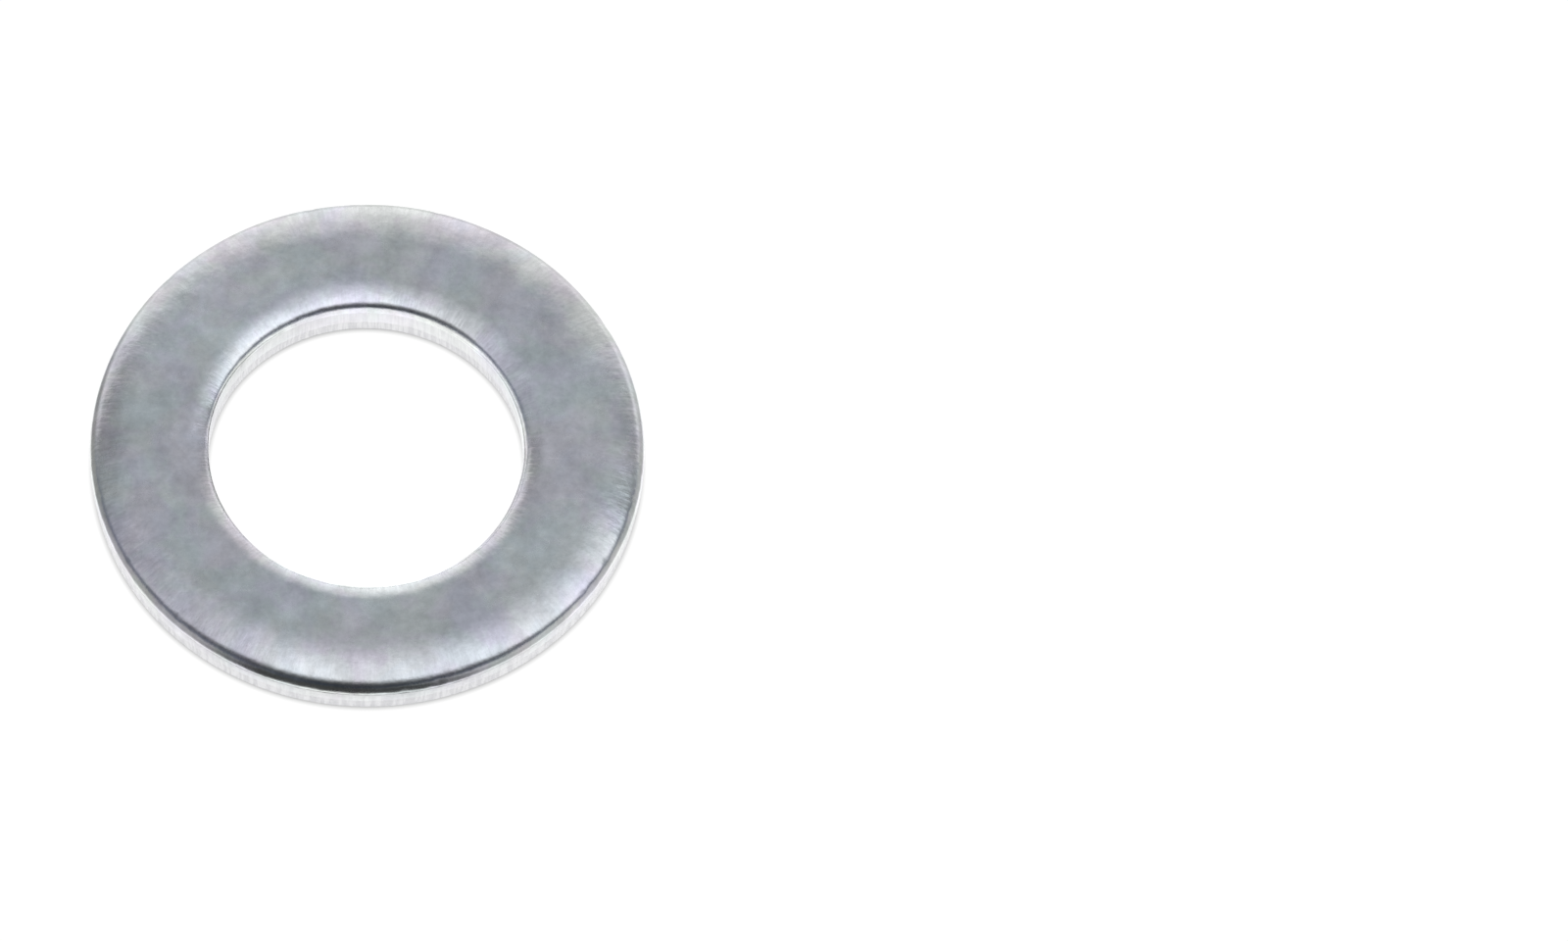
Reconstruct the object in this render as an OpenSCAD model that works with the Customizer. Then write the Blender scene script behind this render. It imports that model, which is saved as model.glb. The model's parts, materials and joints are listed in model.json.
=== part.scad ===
// Flat washer, M16 size: one ring of sheared and plated steel strip.
//
// The ring is blanked and pierced in one stroke of the press. That rolls over
// both of its upper edges, and leaves each wall with a smooth sheared band
// above a torn part that leans away from the cut. The ring lies with its torn
// side down on z = 0, and the bolt runs along z. All sizes are in millimetres.

/* [Ring] */
// Outside diameter
outside_d = 30; // [29:0.5:34]
// Diameter of the bore at its smooth band, where it is narrowest
bore_d = 17; // [15:0.1:17.5]
// Thickness of the strip
thickness = 3; // [2.8:0.1:4]

/* [Rolled upper edges] */
// Degrees the gentle part of a roll turns before its tight part takes over
gentle_turn = 26; // [20:1:28]
// Radius of the gentle part of the outer roll
outer_gentle_r = 5; // [4:0.25:6]
// Radius of the tight part of the outer roll
outer_tight_r = 0.9; // [0.6:0.05:1.1]
// Radius of the gentle part of the bore's roll
bore_gentle_r = 2.75; // [2:0.25:3.25]
// Radius of the tight part of the bore's roll
bore_tight_r = 0.75; // [0.4:0.05:0.8]

/* [Sheared walls] */
// Height of the smooth sheared band on the outer wall
outer_band_h = 0.65; // [0.3:0.05:0.8]
// Height of the smooth sheared band in the bore
bore_band_h = 1.05; // [0.6:0.05:1.2]
// Distance the torn part of each wall has leaned back by its foot
torn_lean = 0.1; // [0.02:0.01:0.2]
// Radius of the two lower edges, worn round by tumbling
tumbled_r = 0.15; // [0.1:0.05:0.25]

/* [Hidden] */
$fn = 180;

steel_color = [0.72, 0.74, 0.78];
facet_angle = 3; // degrees of arc that one straight facet of the cross-section spans

// An edge of the ring is [wall radius, side, gentle radius, tight radius, band height].
// Its side is 1 on the outer wall, which faces out, and -1 in the bore, which faces in.
outer = [outside_d / 2, 1, outer_gentle_r, outer_tight_r, outer_band_h];
bore = [bore_d / 2, -1, bore_gentle_r, bore_tight_r, bore_band_h];

// The way an edge faces, turned up from level by an angle
function facing(side, angle) = [side * cos(angle), sin(angle)];

// The points of an arc after its first one
function arc(side, centre, radius, from, to) =
    let (steps = ceil(abs(to - from) / facet_angle))
    [for (i = [1:steps]) centre + radius * facing(side, from + (to - from) * i / steps)];

// One edge's outline, from the end of the flat top down to the start of the flat bottom
function edge_outline(edge) =
    let (
        wall_r = edge[0],
        side = edge[1],
        gentle_r = edge[2],
        tight_r = edge[3],
        band_h = edge[4],
        steepest = 90 - gentle_turn,
        roll_w = tight_r + (gentle_r - tight_r) * sin(gentle_turn),
        roll_h = gentle_r - (gentle_r - tight_r) * cos(gentle_turn),
        flat_end = [wall_r - side * roll_w, thickness],
        band_top = [wall_r, thickness - roll_h],
        torn_foot = [wall_r - side * torn_lean, tumbled_r]
    )
    concat(
        [flat_end],
        arc(side, flat_end - [0, gentle_r], gentle_r, 90, steepest),
        arc(side, band_top - [side * tight_r, 0], tight_r, steepest, 0),
        [band_top - [0, band_h], torn_foot],
        arc(side, torn_foot - [side * tumbled_r, 0], tumbled_r, 0, -90)
    );

function reversed(list) = [for (i = [len(list) - 1:-1:0]) list[i]];

module flat_washer() {
    color(steel_color)
        rotate_extrude()
            polygon(concat(edge_outline(outer), reversed(edge_outline(bore))));
}

flat_washer();
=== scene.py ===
"""Looks of one flat washer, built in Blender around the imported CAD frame.

The washer is a single closed skin, turned round the bolt's axis and then marked: the rolled
upper edges vary a little, the torn parts of both walls are streaked, and tumbling has left
shallow dents. Lengths are in millimetres in the cross-section, in the marks and in both
materials, and in metres in the finished mesh, the table and the camera.
"""

import json
import math
from typing import NamedTuple

import bpy
import numpy as np
from mathutils import Matrix, Vector


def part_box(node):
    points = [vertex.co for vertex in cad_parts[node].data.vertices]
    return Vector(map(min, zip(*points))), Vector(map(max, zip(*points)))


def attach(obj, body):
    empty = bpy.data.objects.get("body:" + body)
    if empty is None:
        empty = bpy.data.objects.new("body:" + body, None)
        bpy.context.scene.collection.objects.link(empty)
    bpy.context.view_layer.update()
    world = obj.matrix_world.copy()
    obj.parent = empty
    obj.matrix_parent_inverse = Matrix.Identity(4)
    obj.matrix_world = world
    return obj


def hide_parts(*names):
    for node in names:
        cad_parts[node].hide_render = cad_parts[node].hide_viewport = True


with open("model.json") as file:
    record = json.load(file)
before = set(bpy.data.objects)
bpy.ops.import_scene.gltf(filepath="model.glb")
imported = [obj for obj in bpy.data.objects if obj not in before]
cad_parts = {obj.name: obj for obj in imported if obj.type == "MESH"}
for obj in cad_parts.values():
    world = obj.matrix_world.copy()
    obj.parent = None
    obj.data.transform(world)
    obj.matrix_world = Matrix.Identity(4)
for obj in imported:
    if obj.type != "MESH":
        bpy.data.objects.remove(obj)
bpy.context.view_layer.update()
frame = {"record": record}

MM = 0.001
NODE = "flat_washer"
SLOT = "zinc_plate"
SEED = 16

# ---------------------------------------------------------------- sizes, in millimetres

_, BOX_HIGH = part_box(NODE)
OUTER_R = min(BOX_HIGH[0], BOX_HIGH[1]) / MM
THICKNESS = BOX_HIGH[2] / MM
BORE_R = next(m["dims"]["r_mm"] for m in frame["record"]["mounts"] if m["name"] == "bore")

GENTLE_TURN = math.radians(26)
OFF_CENTRE = (-0.05, -0.32)  # how far to the left and front the bore was pierced
TORN_LEAN = 0.10
TUMBLED_R = 0.15


class Edge(NamedTuple):
    """One edge of the ring. side is 1 on the outer wall and -1 in the bore.

    gentle_lost and tight_lost are (share, angle): the share of the radius that is lost at that
    angle round the ring, in degrees. Opposite it nothing is lost.
    """

    wall_r: float
    side: int
    gentle_r: float
    tight_r: float
    band_h: float
    gentle_lost: tuple = (0, 0)
    tight_lost: tuple = (0, 0)


OUTER = Edge(OUTER_R, 1, gentle_r=5.0, tight_r=0.9, band_h=0.65)
BORE = Edge(BORE_R, -1, gentle_r=2.75, tight_r=0.75, band_h=1.05,
            gentle_lost=(0.30, -100), tight_lost=(0.30, -165))

# How many steps the skin takes along each stretch of the cross-section, and around the ring
AROUND = 660
STEPS = {"flat": 20, "gentle": 14, "tight": 15, "band": 7, "torn": 12, "tumbled": 5, "bottom": 22}


# ---------------------------------------------------------------- smooth noise

def smooth(t):
    return t * t * (3 - 2 * t)


def up_to_one(steps):
    """Even steps after 0, of which the last is 1."""
    return np.arange(1, steps + 1) / steps


def angles_around():
    """The angle of every step around the ring, as a column."""
    return np.linspace(0, 2 * math.pi, AROUND, endpoint=False)[:, None]


def ring_noise(rng, slowest, fastest):
    """Random waves round the ring, from slowest to fastest cycles a turn, about -1 to 1."""
    angle = angles_around()
    waves = sum(
        np.cos(k * angle + rng.uniform(0, 2 * math.pi)) / math.sqrt(k)
        for k in range(slowest, fastest + 1)
    )
    return waves / np.abs(waves).max()


def lattice_noise(rng, cells_around, cells_along, along):
    """Value noise over the skin, seamless round the ring. along is 0 to 1 over its stretch."""
    grid = rng.uniform(-1, 1, (cells_around, cells_along + 2))
    x = (np.arange(AROUND) / AROUND * cells_around)[:, None] + 0 * along
    y = along * cells_along
    i, j = x.astype(int), np.minimum(y.astype(int), cells_along)
    u, v = smooth(x - i), smooth(y - j)
    i2 = (i + 1) % cells_around
    low = grid[i, j] * (1 - u) + grid[i2, j] * u
    high = grid[i, j + 1] * (1 - u) + grid[i2, j + 1] * u
    return low * (1 - v) + high * v


# ---------------------------------------------------------------- the cross-section

# Points of the cross-section are their radii and their heights. Each is an array with one row
# for every step around the ring, because the cross-section varies round it.


class Stretch(NamedTuple):
    """Part of the skin, with how rolled over and how sheared each of its points is."""

    radii: np.ndarray
    heights: np.ndarray
    rolled: np.ndarray
    sheared: np.ndarray


def stretch(points, rolled=0, sheared=0):
    """A stretch of the skin. rolled and sheared are one value for all of it, or one a step."""
    radii, heights = points
    return Stretch(radii, heights, np.broadcast_to(rolled, radii.shape),
                   np.broadcast_to(sheared, radii.shape))


def joined(stretches):
    return Stretch(*(np.hstack(values) for values in zip(*stretches)))


def flipped(whole):
    return Stretch(*(values[:, ::-1] for values in whole))


def point(r, z):
    everywhere = np.zeros((AROUND, 1))
    return r + everywhere, z + everywhere


def arc(edge, centre, radius, start, stop, steps):
    """Points of an arc after its first one. Angles are up from the way the edge faces."""
    angle = start + (stop - start) * up_to_one(steps)
    return (centre[0] + edge.side * radius * np.cos(angle),
            centre[1] + radius * np.sin(angle))


def straight(start, stop, steps):
    """Points of a straight line after its first one."""
    t = up_to_one(steps)
    return start[0] + (stop[0] - start[0]) * t, start[1] + (stop[1] - start[1]) * t


def lost(share, degrees):
    """How much of a radius is lost all round the ring, if that share is lost at that angle."""
    return share * (1 + np.cos(angles_around() - math.radians(degrees))) / 2


GENTLE_VARIES, TIGHT_VARIES = 0.03, 0.12  # shares by which the two radii of a roll vary
WAVY_FOOT, RAGGED_FOOT = 0.10, 0.04  # how far the foot of a smooth band wanders up and down
PARTLY_SHEARED = 0.6  # for the smooth bands and the worn edges, against 1 for the torn parts


def edge_outline(edge, rng):
    """One edge from the end of the flat top to the start of the flat bottom."""
    gentle_noise = GENTLE_VARIES * ring_noise(rng, slowest=2, fastest=7)
    tight_noise = TIGHT_VARIES * ring_noise(rng, slowest=2, fastest=12)
    foot_noise = (WAVY_FOOT * ring_noise(rng, slowest=3, fastest=14)
                  + RAGGED_FOOT * ring_noise(rng, slowest=15, fastest=90))
    gentle_r = edge.gentle_r * (1 - lost(*edge.gentle_lost) + gentle_noise)
    tight_r = edge.tight_r * (1 - lost(*edge.tight_lost) + tight_noise)
    roll_w = tight_r + (gentle_r - tight_r) * math.sin(GENTLE_TURN)
    roll_h = gentle_r - (gentle_r - tight_r) * math.cos(GENTLE_TURN)
    steepest = math.pi / 2 - GENTLE_TURN

    flat_end = point(edge.wall_r - edge.side * roll_w, THICKNESS)
    gentle_centre = point(flat_end[0], THICKNESS - gentle_r)
    band_top = point(edge.wall_r, THICKNESS - roll_h)
    tight_centre = point(edge.wall_r - edge.side * tight_r, band_top[1])
    band_foot = point(edge.wall_r, band_top[1] - edge.band_h + foot_noise)
    torn_foot = point(edge.wall_r - edge.side * TORN_LEAN, TUMBLED_R)
    tumbled_centre = point(torn_foot[0] - edge.side * TUMBLED_R, TUMBLED_R)

    gentle = arc(edge, gentle_centre, gentle_r, math.pi / 2, steepest, STEPS["gentle"])
    tight = arc(edge, tight_centre, tight_r, steepest, 0, STEPS["tight"])
    tumbled = arc(edge, tumbled_centre, TUMBLED_R, 0, -math.pi / 2, STEPS["tumbled"])
    return joined([
        stretch(flat_end),
        stretch(gentle, rolled=up_to_one(STEPS["gentle"])),
        stretch(tight, rolled=1 - up_to_one(STEPS["tight"])),
        stretch(straight(band_top, band_foot, STEPS["band"]), sheared=PARTLY_SHEARED),
        stretch(torn_wall(edge, band_foot, torn_foot, rng), sheared=1),
        stretch(tumbled, sheared=PARTLY_SHEARED),
    ])


TORN_STEP = 0.02  # how far the torn part steps back under the smooth band
STREAK_DEPTH = 0.018  # the streaks go from nothing to twice as deep as this
FINE_SHARE, COARSE_SHARE = 0.6, 0.4  # of the streaks
FADE_IN, FADE_OUT = 1 / 5, 1 / 4  # shares of the torn part over which both fade in and out


def torn_wall(edge, top, foot, rng):
    """The torn part: a small step back from the smooth band, then streaks down to the foot."""
    r, z = straight(top, foot, STEPS["torn"])
    along = np.broadcast_to(up_to_one(STEPS["torn"]), r.shape)
    fine = lattice_noise(rng, cells_around=330, cells_along=2, along=along)
    coarse = lattice_noise(rng, cells_around=150, cells_along=4, along=along)
    streaks = FINE_SHARE * fine + COARSE_SHARE * coarse
    fade_in = np.minimum(1, along / FADE_IN)
    fade_out = np.minimum(1, (1 - along) / FADE_OUT)
    depth = (TORN_STEP + STREAK_DEPTH * (1 + streaks)) * fade_in * fade_out
    return r - edge.side * depth, z


def flat_between(before, after, steps):
    """A flat from the end of one edge to the start of the next, without either end."""
    start = before.radii[:, -1:], before.heights[:, -1:]
    stop = after.radii[:, :1], after.heights[:, :1]
    return stretch([values[:, :-1] for values in straight(start, stop, steps)])


def washer_outline(rng):
    """The whole cross-section at every step around, as a closed loop."""
    outer = edge_outline(OUTER, rng)
    bore = flipped(edge_outline(BORE, rng))
    return joined([outer, flat_between(outer, bore, STEPS["bottom"]),
                   bore, flat_between(bore, outer, STEPS["flat"])])


# ---------------------------------------------------------------- marks on the skin

SWAY = 0.004  # the flats and walls sway by up to twice this

# How many marks tumbling left, and the limits of their radius and of their depth
DENTS, DENT_R, DENT_DEPTH = 90, (0.25, 0.8), (0.002, 0.012)
NICKS, NICK_R, NICK_DEPTH = 26, (0.18, 0.42), (0.008, 0.03)


def outward(radii, heights):
    """Unit normals of the cross-section, as (radius part, height part)."""
    dr = np.roll(radii, -1, axis=1) - np.roll(radii, 1, axis=1)
    dz = np.roll(heights, -1, axis=1) - np.roll(heights, 1, axis=1)
    length = np.hypot(dr, dz)
    return -dz / length, dr / length


def hollow(rng, points, middle, radii, depths):
    """Depth at every point of one round hollow, whose radius and depth are drawn by chance."""
    radius, deep = rng.uniform(*radii), rng.uniform(*depths)
    near = np.linalg.norm(points - middle, axis=2) / radius
    return deep * np.clip(1 - near**2, 0, 1) ** 2


def dents(rng, points):
    """Depth at every point of the shallow dents that tumbling against other washers leaves."""
    every_point = points.reshape(-1, 3)
    depth = np.zeros(points.shape[:2])
    for _ in range(DENTS):
        middle = every_point[rng.integers(len(every_point))]
        depth += hollow(rng, points, middle, DENT_R, DENT_DEPTH)
    return depth


def edge_nicks(rng, points):
    """Depth at every point of the small nicks along the tight bend of the outer roll."""
    bend = 1 + STEPS["gentle"] + STEPS["tight"] // 2
    reach = STEPS["tight"] // 3
    depth = np.zeros(points.shape[:2])
    for _ in range(NICKS):
        middle = points[rng.integers(AROUND), bend + rng.integers(-reach, reach + 1)]
        depth += hollow(rng, points, middle, NICK_R, NICK_DEPTH)
    return depth


def turned(radii, heights):
    angle = angles_around()
    return np.stack([radii * np.cos(angle), radii * np.sin(angle), heights], axis=2)


def washer_skin():
    """Points of the finished skin, and how rolled over and how sheared each of them is."""
    rng = np.random.default_rng(SEED)
    radii, heights, rolled, sheared = washer_outline(rng)
    normal_r, normal_z = outward(radii, heights)
    points = turned(radii, heights)
    along = np.broadcast_to(np.linspace(0, 1, radii.shape[1]), radii.shape)
    sway = SWAY * (1 + lattice_noise(rng, cells_around=24, cells_along=30, along=along))
    depth = sway + dents(rng, points) + edge_nicks(rng, points)
    points = turned(radii - normal_r * depth, heights - normal_z * depth)
    toward_bore = np.clip((OUTER_R - radii) / (OUTER_R - BORE_R), 0, 1)[..., None]
    points[..., :2] += smooth(toward_bore) * OFF_CENTRE
    return points, rolled, sheared


def washer_mesh():
    """The skin as a closed mesh, with 'rolled' and 'sheared' as attributes of its points."""
    points, rolled, sheared = washer_skin()
    along = points.shape[1]
    i, j = np.meshgrid(np.arange(AROUND), np.arange(along), indexing="ij")
    i2, j2 = (i + 1) % AROUND, (j + 1) % along
    quads = np.stack([i * along + j, i * along + j2, i2 * along + j2, i2 * along + j], axis=2)
    mesh = bpy.data.meshes.new("washer_skin")
    mesh.from_pydata((points * MM).reshape(-1, 3), [], quads.reshape(-1, 4).tolist())
    for name, values in (("rolled", rolled), ("sheared", sheared)):
        mesh.attributes.new(name, "FLOAT", "POINT").data.foreach_set("value", values.ravel())
    mesh.shade_smooth()
    mesh.validate()
    return mesh


# ---------------------------------------------------------------- node helpers

MIX_A, MIX_B, MIX_RESULT = 6, 7, 2  # the sockets of a mix node that are for colours


class Nodes:
    """Adds shader nodes to one tree. A value that is a socket is linked, and any other is set."""

    def __init__(self, tree):
        self.tree = tree
        tree.nodes.clear()

    def add(self, kind, inputs=None, **settings):
        made = self.tree.nodes.new(kind)
        for name, value in settings.items():
            setattr(made, name, value)
        for key, value in (inputs or {}).items():
            self.feed(made.inputs[key], value)
        return made

    def feed(self, socket, value):
        if isinstance(value, bpy.types.NodeSocket):
            self.tree.links.new(value, socket)
        else:
            socket.default_value = value

    def maths(self, operation, a, b=0.0, clamp=False):
        return self.add("ShaderNodeMath", {0: a, 1: b}, operation=operation,
                        use_clamp=clamp).outputs[0]

    def plus(self, a, b):
        return self.maths("ADD", a, b)

    def minus(self, a, b, clamp=False):
        return self.maths("SUBTRACT", a, b, clamp)

    def times(self, a, b):
        return self.maths("MULTIPLY", a, b)

    def length(self, where):
        return self.add("ShaderNodeVectorMath", {0: where}, operation="LENGTH").outputs["Value"]

    def distance(self, where, middle):
        return self.add("ShaderNodeVectorMath", {0: where, 1: middle},
                        operation="DISTANCE").outputs["Value"]

    def parts(self, where):
        """The x, y and z of a place or a direction."""
        return self.add("ShaderNodeSeparateXYZ", {0: where}).outputs

    def camera_ray(self):
        """1 for what the camera sees itself, and 0 for what it sees reflected."""
        return self.add("ShaderNodeLightPath").outputs["Is Camera Ray"]

    def total(self, values):
        result = values[0]
        for value in values[1:]:
            result = self.plus(result, value)
        return result

    def spread(self, value, low, high):
        """Maps 0 to 1 onto low to high."""
        return self.plus(self.times(value, high - low), low)

    def ease(self, value, start, end):
        """Rises smoothly from 0 at start to 1 at end."""
        return self.add("ShaderNodeMapRange", {"Value": value, "From Min": start, "From Max": end},
                        interpolation_type="SMOOTHSTEP").outputs["Result"]

    def ramp(self, value, stops):
        """Blends from stop to stop. Each is a value and what it gives, a colour or a number."""
        made = self.add("ShaderNodeValToRGB", {"Fac": value})
        elements = made.color_ramp.elements
        while len(elements) < len(stops):
            elements.new(1.0)
        for element, (position, colour) in zip(elements, stops):
            element.position = position
            element.color = (*colour, 1.0) if isinstance(colour, tuple) else (colour,) * 3 + (1,)
        return made.outputs["Color"]

    def mix(self, factor, a, b, blend="MIX"):
        made = self.add("ShaderNodeMix", data_type="RGBA", blend_type=blend)
        self.feed(made.inputs["Factor"], factor)
        self.feed(made.inputs[MIX_A], a)
        self.feed(made.inputs[MIX_B], b)
        return made.outputs[MIX_RESULT]

    def tinted(self, colour, by):
        """A colour times another colour or a number."""
        return self.mix(1.0, colour, by, "MULTIPLY")

    def noise(self, where, cells, detail=1.0, roughness=0.5, distortion=0.0):
        """Noise from 0 to 1. cells is how many of its cells there are to a unit of the place."""
        made = self.add("ShaderNodeTexNoise", {
            "Vector": where, "Scale": cells, "Detail": detail, "Roughness": roughness,
            "Distortion": distortion,
        })
        return made.outputs["Fac"]

    def place_in_mm(self):
        place = self.add("ShaderNodeTexCoord").outputs["Object"]
        return self.stretched(place, (1 / MM, 1 / MM, 1 / MM))

    def stretched(self, where, scale, turn=(0, 0, 0)):
        return self.add("ShaderNodeMapping", {"Vector": where, "Scale": scale,
                                              "Rotation": turn}).outputs[0]

    def shifted(self, where, distance):
        """A place moved by a distance, so that the textures there don't agree with others."""
        return self.add("ShaderNodeMapping", {"Vector": where,
                                              "Location": (distance,) * 3}).outputs[0]


# ---------------------------------------------------------------- the zinc

BARE_ZINC = (0.735, 0.735, 0.75, 1.0)
SHEARED_ZINC = (0.53, 0.53, 0.545, 1.0), (0.63, 0.63, 0.64, 1.0)  # in draw marks and between them
DRAW_MARKS = 60.0  # draw marks to a radian
BORE_ROLL_LIGHT = 1.13  # painted light: how much brighter the bore's roll is coloured, standing in for the extra light that reaches it inside the bore
NEAR_BORE = (BORE_R + 2.5, BORE_R + 1.5)  # distance from the middle where that starts, and is full
RUBBED = (0.98, 1.06)  # brightness of the plate, and of the steel between a roll's draw marks
WEAR = (0.20, 0.32)  # roughness of the plate, from its glossiest patches to its dullest
SHEARED_ROUGHER = 0.15

# These split a noise into two halves, with a soft border between the first value and the second
HALVES = (0.40, 0.60)

# Tints of the passivate film, as factors on the zinc's own colour
LAVENDER, TEAL = (1.005, 0.978, 1.025, 1.0), (0.980, 1.025, 0.990, 1.0)
COOL, WARM = (0.975, 1.0, 1.022, 1.0), (1.008, 1.0, 0.990, 1.0)

# Brightness of the film's darkest and palest patches in small clouds, and the limits of a wide
# slow drift: painted light that colours one side of the washer lighter and the other darker, as
# the overhead light falls
CLOUDS, PAINTED_LIGHT_DRIFT = (0.52, 1.48), (0.80, 1.20)

# Relief. All its heights are in thousandths of a millimetre.
THOUSANDTH = 0.001 * MM
UNEVEN = [(1.3, 20.0), (4.5, 6.0), (16.0, 1.5)]  # noise cells to a millimetre, and height
MARKS_SHEARED, MARKS_ROLLED = 40.0, 12.0  # height of the draw marks in the two places
ALONG_MARKS = 0.5  # noise cells to a millimetre along a draw mark
SCRATCH_TURNS = (12, 57, 101, 148)  # degrees
SCRATCH_CELLS = (0.25, 9.0, 9.0)  # noise cells to a millimetre, along a scratch and then across it
SCRATCH_STARTS, SCRATCH_FULL = 0.70, 0.76  # of the noise, so most of the plate has no scratch
SCRATCH_DEPTH = 1.0


def film_patches(n, where, cells):
    """Soft, ragged patches of 0 and of 1."""
    patches = n.noise(where, cells, detail=4.0, roughness=0.62, distortion=0.6)
    return n.ease(patches, *HALVES)


def film_colour(n, where):
    """Zinc under its passivate film, which drifts in tint and in depth from patch to patch, with a
    slow painted light drift across the whole washer.
    """
    hue = film_patches(n, n.shifted(where, 31.0), cells=0.30)
    heat = film_patches(n, n.shifted(where, 77.0), cells=0.24)
    colour = n.tinted(BARE_ZINC, n.mix(hue, LAVENDER, TEAL))
    colour = n.tinted(colour, n.mix(heat, COOL, WARM))
    clouds = n.spread(n.noise(where, cells=0.6, detail=5.0, roughness=0.75), *CLOUDS)
    # Painted light: a slow drift in brightness across the washer, lighter on one side as the
    # overhead light falls
    painted_light_drift = n.spread(n.noise(n.shifted(where, 42.0), cells=0.05), *PAINTED_LIGHT_DRIFT)
    return n.tinted(colour, n.times(clouds, painted_light_drift))


def scratch_lines(n, where, turn):
    """Thin, faint lines in one direction: 1 on a line, 0 off it."""
    along = n.stretched(where, SCRATCH_CELLS, (0, 0, math.radians(turn)))
    stops = [(0.0, 0.0), (SCRATCH_STARTS, 0.0), (SCRATCH_FULL, 1.0)]
    return n.ramp(n.noise(along, cells=1.0), stops)


def draw_marks(n, where):
    """Fine lines across the edges, left as the tool drew the steel down past it."""
    x, y, z = n.parts(where)
    angle = n.maths("ARCTAN2", y, x)
    around = [n.times(n.maths(wave, angle), DRAW_MARKS) for wave in ("COSINE", "SINE")]
    along = n.times(n.minus(n.length(where), z), ALONG_MARKS)
    wrapped = n.add("ShaderNodeCombineXYZ", {"X": around[0], "Y": around[1], "Z": along})
    return n.noise(wrapped.outputs[0], cells=1.0, detail=3.0, roughness=0.6)


def relief(n, where, rolled, sheared, marks):
    """Height of the surface in thousandths of a millimetre."""
    scratches = n.total([scratch_lines(n, where, turn) for turn in SCRATCH_TURNS])
    marked = n.plus(n.times(sheared, MARKS_SHEARED), n.times(rolled, MARKS_ROLLED))
    uneven = [n.times(n.noise(where, cells), height) for cells, height in UNEVEN]
    return n.total([*uneven, n.times(marks, marked), n.times(scratches, -SCRATCH_DEPTH)])


def zinc():
    """Bright zinc plate under a clear blue passivate, softened by tumbling."""
    material = bpy.data.materials.new(SLOT)
    material.use_nodes = True
    n = Nodes(material.node_tree)
    where = n.place_in_mm()
    rolled, sheared = (
        n.add("ShaderNodeAttribute", attribute_name=name).outputs["Fac"]
        for name in ("rolled", "sheared")
    )
    marks = draw_marks(n, where)
    lines = n.ease(marks, *HALVES)
    rubbed = n.spread(n.times(rolled, lines), *RUBBED)
    near_bore = n.times(rolled, n.ease(n.length(where), *NEAR_BORE))
    # Painted light: the bore's roll is coloured brighter, as if lit by the light inside the bore
    painted_bore_light = n.spread(near_bore, 1.0, BORE_ROLL_LIGHT)
    film = n.tinted(film_colour(n, where), n.times(rubbed, painted_bore_light))
    wear = n.spread(n.noise(where, cells=1.1, detail=4.0, roughness=0.6), *WEAR)
    height = relief(n, where, rolled, sheared, marks)
    bump = n.add("ShaderNodeBump", {"Height": height, "Distance": THOUSANDTH})
    surface = n.add("ShaderNodeBsdfPrincipled", {
        "Base Color": n.mix(sheared, film, n.mix(lines, *SHEARED_ZINC)),
        "Metallic": 1.0,
        "Roughness": n.plus(wear, n.times(sheared, SHEARED_ROUGHER)),
        "Normal": bump.outputs["Normal"],
    })
    n.add("ShaderNodeOutputMaterial", {"Surface": surface.outputs[0]})
    return material


# ---------------------------------------------------------------- the studio

# Brightness of the studio along the arc from the back horizon (0 degrees) over the top to the
# front horizon (180), as seen from the washer: to its left, in the middle and to its right
SKY = [
    (0, 0.95, 1.28, 1.15),
    (10, 0.90, 1.05, 0.96),
    (20, 0.80, 0.98, 0.72),
    (30, 0.82, 0.86, 0.52),
    (38, 0.66, 0.75, 0.42),
    (45, 0.22, 0.68, 0.26),
    (51, 0.12, 0.56, 0.12),
    (56, 0.20, 0.45, 0.18),
    (61, 0.37, 0.415, 0.40),
    (67, 0.38, 0.48, 0.80),
    (74, 0.38, 0.60, 1.06),
    (82, 0.46, 0.66, 1.18),
    (92, 0.48, 0.76, 1.16),
    (104, 0.54, 1.06, 1.12),
    (118, 0.76, 1.14, 1.05),
    (130, 0.42, 0.64, 0.55),
    (142, 0.12, 0.14, 0.14),
    (155, 0.05, 0.04, 0.05),
    (180, 0.04, 0.03, 0.04),
]
LEFT = (0.05, 0.70)  # how far to the left the middle starts giving way, and has given way
RIGHT = (0.10, 0.80)

# Tint of the studio along the same arc: white at the back, greyer teal in the gap, then lavender
SKY_TINT = [
    (0, (1.01, 0.995, 1.01)),
    (40, (0.99, 0.985, 1.01)),
    (60, (0.930, 1.008, 1.06)),
    (80, (0.965, 0.975, 1.06)),
    (125, (0.975, 0.980, 1.05)),
]

# The dark room in front, which is lighter to either side
ROOM_FRONT, ROOM_SIDE = (0.034, 0.042, 0.056, 1.0), (0.17, 0.185, 0.215, 1.0)
ROOM_HALF = (0.22, 0.80)  # how far to either side the room starts and stops growing lighter
LIT_BACK, LIT_TOP = (0.30, 0.65), (0.10, 0.50)  # how far back and up the room gives way to light

UNDERNEATH = (0.60, 0.61, 0.63, 1.0)  # below the horizon, where no table is in the way
DOWNWARD = (0.0, -0.1)  # how far down that starts, and is all there
BACKDROP = 1.05  # brightness of the background and of the table, as the camera sees them


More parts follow.
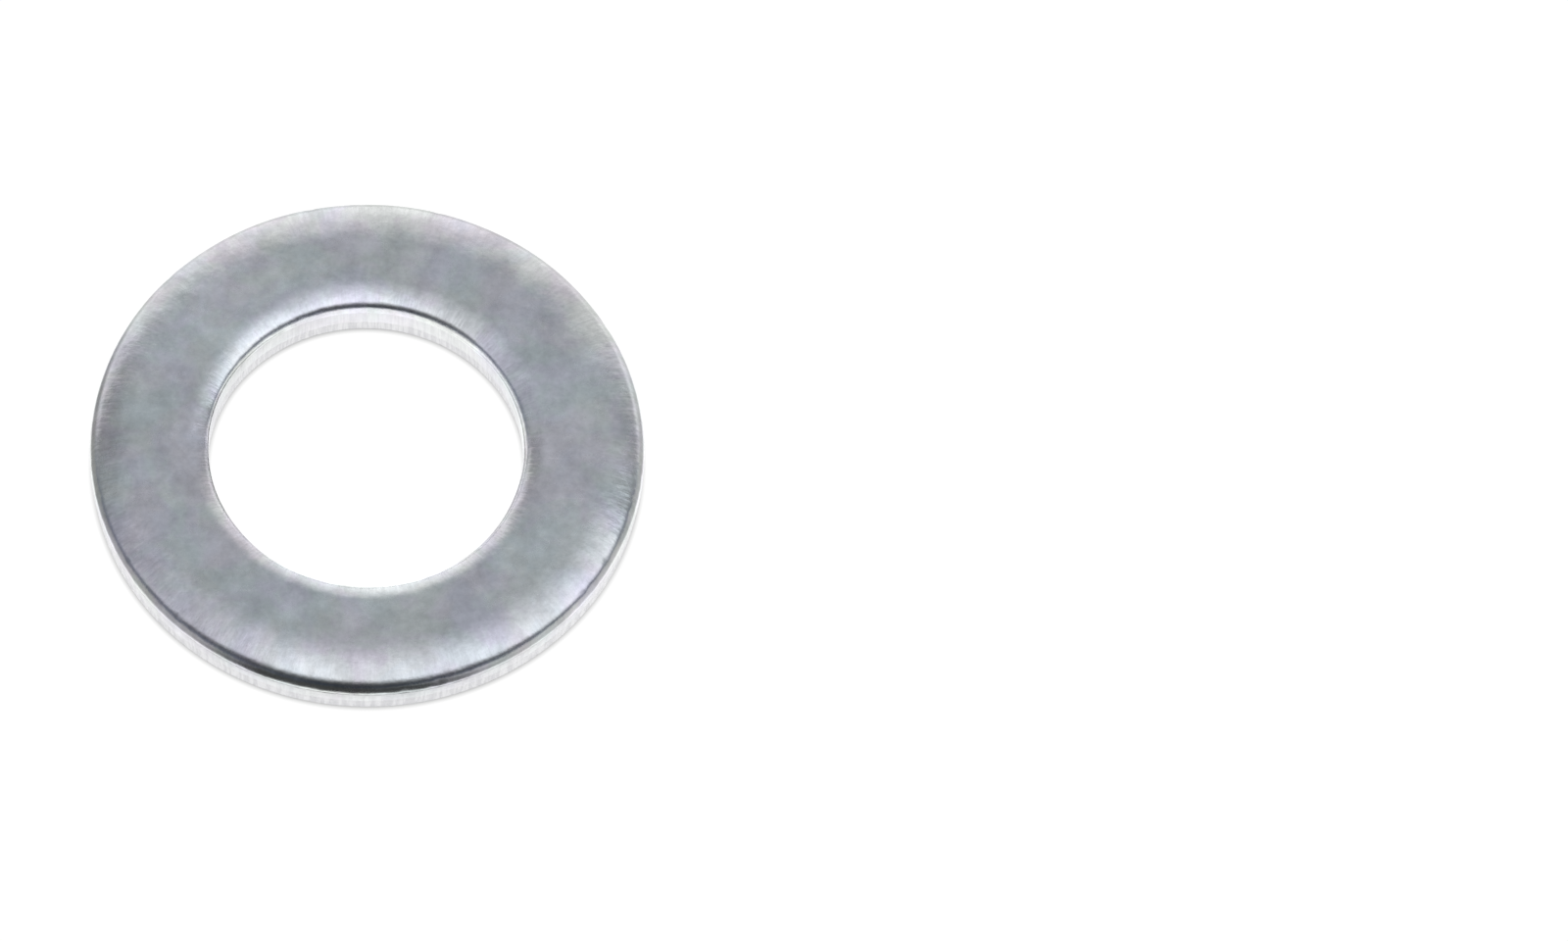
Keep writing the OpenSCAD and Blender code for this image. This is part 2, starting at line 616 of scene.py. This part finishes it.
def studio_light():
    """A bright back wall, a grey gap above it, a soft light overhead and a dark room in front."""
    world = bpy.data.worlds.new("studio")
    world.use_nodes = True
    bpy.context.scene.world = world
    n = Nodes(world.node_tree)
    x, y, z = n.parts(n.add("ShaderNodeTexCoord").outputs["Generated"])
    over = n.maths("DIVIDE", n.maths("ARCTAN2", z, y), math.pi)
    left, middle, right = (
        n.ramp(over, [(row[0] / 180, row[side]) for row in SKY]) for side in (1, 2, 3)
    )
    from_left = n.mix(n.ease(n.times(x, -1.0), *LEFT), middle, left)
    sky = n.mix(n.ease(x, *RIGHT), from_left, right)
    room = n.mix(n.ease(n.maths("ABSOLUTE", x), *ROOM_HALF), ROOM_FRONT, ROOM_SIDE)
    lit = n.maths("MAXIMUM", n.ease(y, *LIT_BACK), n.ease(z, *LIT_TOP))
    tint = n.ramp(over, [(degrees / 180, colour) for degrees, colour in SKY_TINT])
    above = n.tinted(n.mix(lit, room, sky), tint)
    reflected = n.mix(n.ease(z, *DOWNWARD), above, UNDERNEATH)
    colour = n.mix(n.camera_ray(), reflected, (BACKDROP, BACKDROP, BACKDROP, 1.0))
    background = n.add("ShaderNodeBackground", {"Color": colour})
    n.add("ShaderNodeOutputWorld", {"Surface": background.outputs[0]})


TABLE_GLOW = 1.36  # brightness of the table, as the washer sees it
TABLE_HALF = 2.0  # metres
TABLE_GAP = 0.01 * MM  # between the table and the lower face, so that the two don't flicker
CONTACT_WIDTH = 0.45  # millimetres of faint contact shade along the foot of each wall
CONTACT_SHADE = 0.50

# Painted shade: the washer sees its surroundings on the table darker than the camera does, as if
# black card lay in front of it and grey card everywhere else, standing in for the shade of the
# camera and of the room around it.
# It stops short of the washer's walls.
SHADE_GAP = (0.95, 2.3)  # millimetres from a wall to where the painted shade starts, and is all there
AHEAD = math.radians(-93)  # the way to the middle of the darkest painted shade
SHADE_WAY = (math.cos(AHEAD), math.sin(AHEAD), 0.0)
SHADE_AROUND = [(-1.0, 0.38), (-0.7, 0.38), (-0.3, 0.74), (0.15, 0.74), (0.45, 0.62), (0.78, 0.62),
               (0.94, 0.96)]  # how dark the painted shade is, from straight behind (-1) to ahead (1)
SHADE_ON_RIGHT = 0.80  # how much of that painted shade there is on the right
SHADE_IN_BORE = (0.97, 0.70)  # how dark the painted shade is in the bore, on the left and on the right
SHADE_ASIDE = (BORE_R / 5, BORE_R * 3 / 5)  # how far aside that painted shade starts, and is all there
SHADE_MIDDLE = 0.15  # how much of it there is in between
UNDER_WASHER = 0.60  # painted shade: how dark the table looks to the washer where the washer covers it


def contact_shade(n, from_middle, from_bore):
    """How dark the table looks to the camera along the foot of each wall."""
    foot = TORN_LEAN + TUMBLED_R / 2
    outside = n.minus(from_middle, OUTER_R - foot)
    inside = n.minus(BORE_R + foot, from_bore)
    clear = n.maths("MAXIMUM", outside, inside)
    near = n.minus(1.0, n.maths("DIVIDE", clear, CONTACT_WIDTH), clamp=True)
    return n.times(n.maths("POWER", near, 2.0), CONTACT_SHADE)


def shade_outside(n, where, x, from_middle):
    """How dark the painted shade around the washer is: darkest in front, lighter at the right."""
    along = n.add("ShaderNodeVectorMath", {0: where, 1: SHADE_WAY}, operation="DOT_PRODUCT")
    ahead = n.maths("DIVIDE", along.outputs["Value"], from_middle)
    around = n.ramp(n.spread(ahead, 0.5, 1.0), [((a + 1) / 2, dark) for a, dark in SHADE_AROUND])
    on_right = n.spread(n.ease(x, BORE_R, OUTER_R), 1.0, SHADE_ON_RIGHT)
    here = n.ease(n.minus(from_middle, OUTER_R), *SHADE_GAP)
    return n.times(here, n.times(around, on_right))


def shade_in_bore(n, x, y, from_bore):
    """How dark the painted shade in the bore is: darkest at either side, and gone toward the
    front.
    """
    aside = n.spread(n.ease(n.maths("ABSOLUTE", x), *SHADE_ASIDE), SHADE_MIDDLE, 1.0)
    dark = n.spread(n.maths("GREATER_THAN", x, 0.0), *SHADE_IN_BORE)
    here = n.times(n.ease(n.minus(BORE_R, from_bore), *SHADE_GAP), n.ease(y, -BORE_R / 2, 0.0))
    return n.times(here, n.times(aside, dark))


def painted_table_shade(n, where, from_middle, from_bore):
    """Painted shade: how dark the table looks to the washer."""
    x, y, _ = n.parts(where)
    within_wall = n.maths("LESS_THAN", from_middle, OUTER_R - TORN_LEAN)
    outside_bore = n.maths("GREATER_THAN", from_bore, BORE_R + TORN_LEAN)
    return n.total([
        shade_outside(n, where, x, from_middle),
        shade_in_bore(n, x, y, from_bore),
        n.times(n.times(within_wall, outside_bore), UNDER_WASHER),
    ])


def white_table():
    """Glows from above, with painted shade around and under the washer in its reflections and
    along the foot of each wall, and lets everything through from below.
    """
    material = bpy.data.materials.new("white_table")
    material.use_nodes = True
    n = Nodes(material.node_tree)
    where = n.place_in_mm()
    from_middle = n.distance(where, (0.0, 0.0, 0.0))
    from_bore = n.distance(where, (*OFF_CENTRE, 0.0))
    seen = n.camera_ray()
    # Painted shade: to the washer the table is darkened around and under it, and to the camera
    # along the foot of each wall
    shade = n.mix(seen, painted_table_shade(n, where, from_middle, from_bore),
                  contact_shade(n, from_middle, from_bore))
    strength = n.times(n.minus(1.0, shade), n.spread(seen, TABLE_GLOW, BACKDROP))
    glow = n.add("ShaderNodeEmission", {"Color": (1, 1, 1, 1), "Strength": strength})
    below = n.add("ShaderNodeNewGeometry").outputs["Backfacing"]
    clear = n.add("ShaderNodeBsdfTransparent")
    surface = n.add("ShaderNodeMixShader", {0: below, 1: glow.outputs[0], 2: clear.outputs[0]})
    n.add("ShaderNodeOutputMaterial", {"Surface": surface.outputs[0]})
    return material


def light_table():
    """The pale floor: a white table lit from below, so it shows almost no shadow."""
    mesh = bpy.data.meshes.new("floor")
    corners = [(x * TABLE_HALF, y * TABLE_HALF, -TABLE_GAP)
               for x, y in ((-1, -1), (1, -1), (1, 1), (-1, 1))]
    mesh.from_pydata(corners, [], [(0, 1, 2, 3)])
    mesh.materials.append(white_table())
    floor = bpy.data.objects.new("floor", mesh)
    bpy.context.collection.objects.link(floor)


# ---------------------------------------------------------------- the camera

CAMERA_ELEVATION = math.radians(61.7)
CAMERA_ROLL = math.radians(3.05)
CAMERA_DISTANCE = 900 * MM
CAMERA_LENS, SENSOR_WIDTH = 381.2, 36.0  # millimetres
CLIP_START, CLIP_END = 1 * MM, 10.0
AIM = Vector((22.57, 0.94, 0.0)) * MM  # beside the washer, which the photograph has at its left


def camera():
    """A very long lens at the photograph's angle."""
    data = bpy.data.cameras.new("camera")
    data.lens = CAMERA_LENS
    data.sensor_width = SENSOR_WIDTH
    data.clip_start, data.clip_end = CLIP_START, CLIP_END
    made = bpy.data.objects.new("camera", data)
    bpy.context.collection.objects.link(made)
    back = Vector((0, -math.cos(CAMERA_ELEVATION), math.sin(CAMERA_ELEVATION)))
    level = (-back).to_track_quat("-Z", "Y").to_matrix().to_4x4()
    made.matrix_world = (Matrix.Translation(AIM + back * CAMERA_DISTANCE) @ level
                         @ Matrix.Rotation(CAMERA_ROLL, 4, "Z"))
    bpy.context.scene.camera = made


# ---------------------------------------------------------------- putting it together

washer = bpy.data.objects.new("washer", washer_mesh())
bpy.context.collection.objects.link(washer)
washer.data.materials.append(zinc())
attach(washer, "root")
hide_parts(NODE)

light_table()
studio_light()
camera()
bpy.context.scene.view_settings.view_transform = "Standard"
